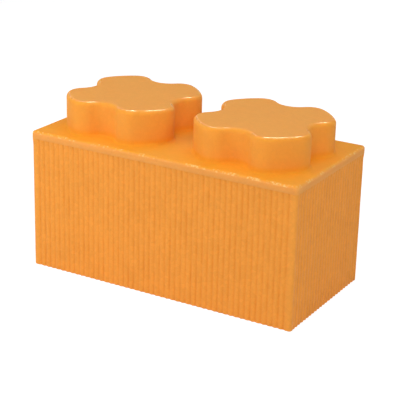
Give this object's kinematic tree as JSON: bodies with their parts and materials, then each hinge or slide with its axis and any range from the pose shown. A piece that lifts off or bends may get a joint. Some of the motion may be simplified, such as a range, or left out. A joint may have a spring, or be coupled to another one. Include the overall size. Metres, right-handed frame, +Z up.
{
  "type": "giant building block",
  "caption": "Large moulded foam play block with ribbed walls, a smooth rim, clover-shaped studs on top and matching open sockets below, for stacking.",
  "frame": {"origin": "middle of the flat base, on the floor", "axes": "+X along the block, +Y to the back, +Z up through the studs"},
  "size_m": [0.3, 0.15, 0.18],
  "materials": {
    "ribbed_foam": "orange expanded polypropylene bead foam with a moulded skin, ribbed",
    "smooth_foam": "orange expanded polypropylene bead foam with a smooth moulded skin"
  },
  "bodies": {
    "root": {"ribbed_body": "ribbed_foam", "stud_lid": "smooth_foam"}
  },
  "joints": []
}
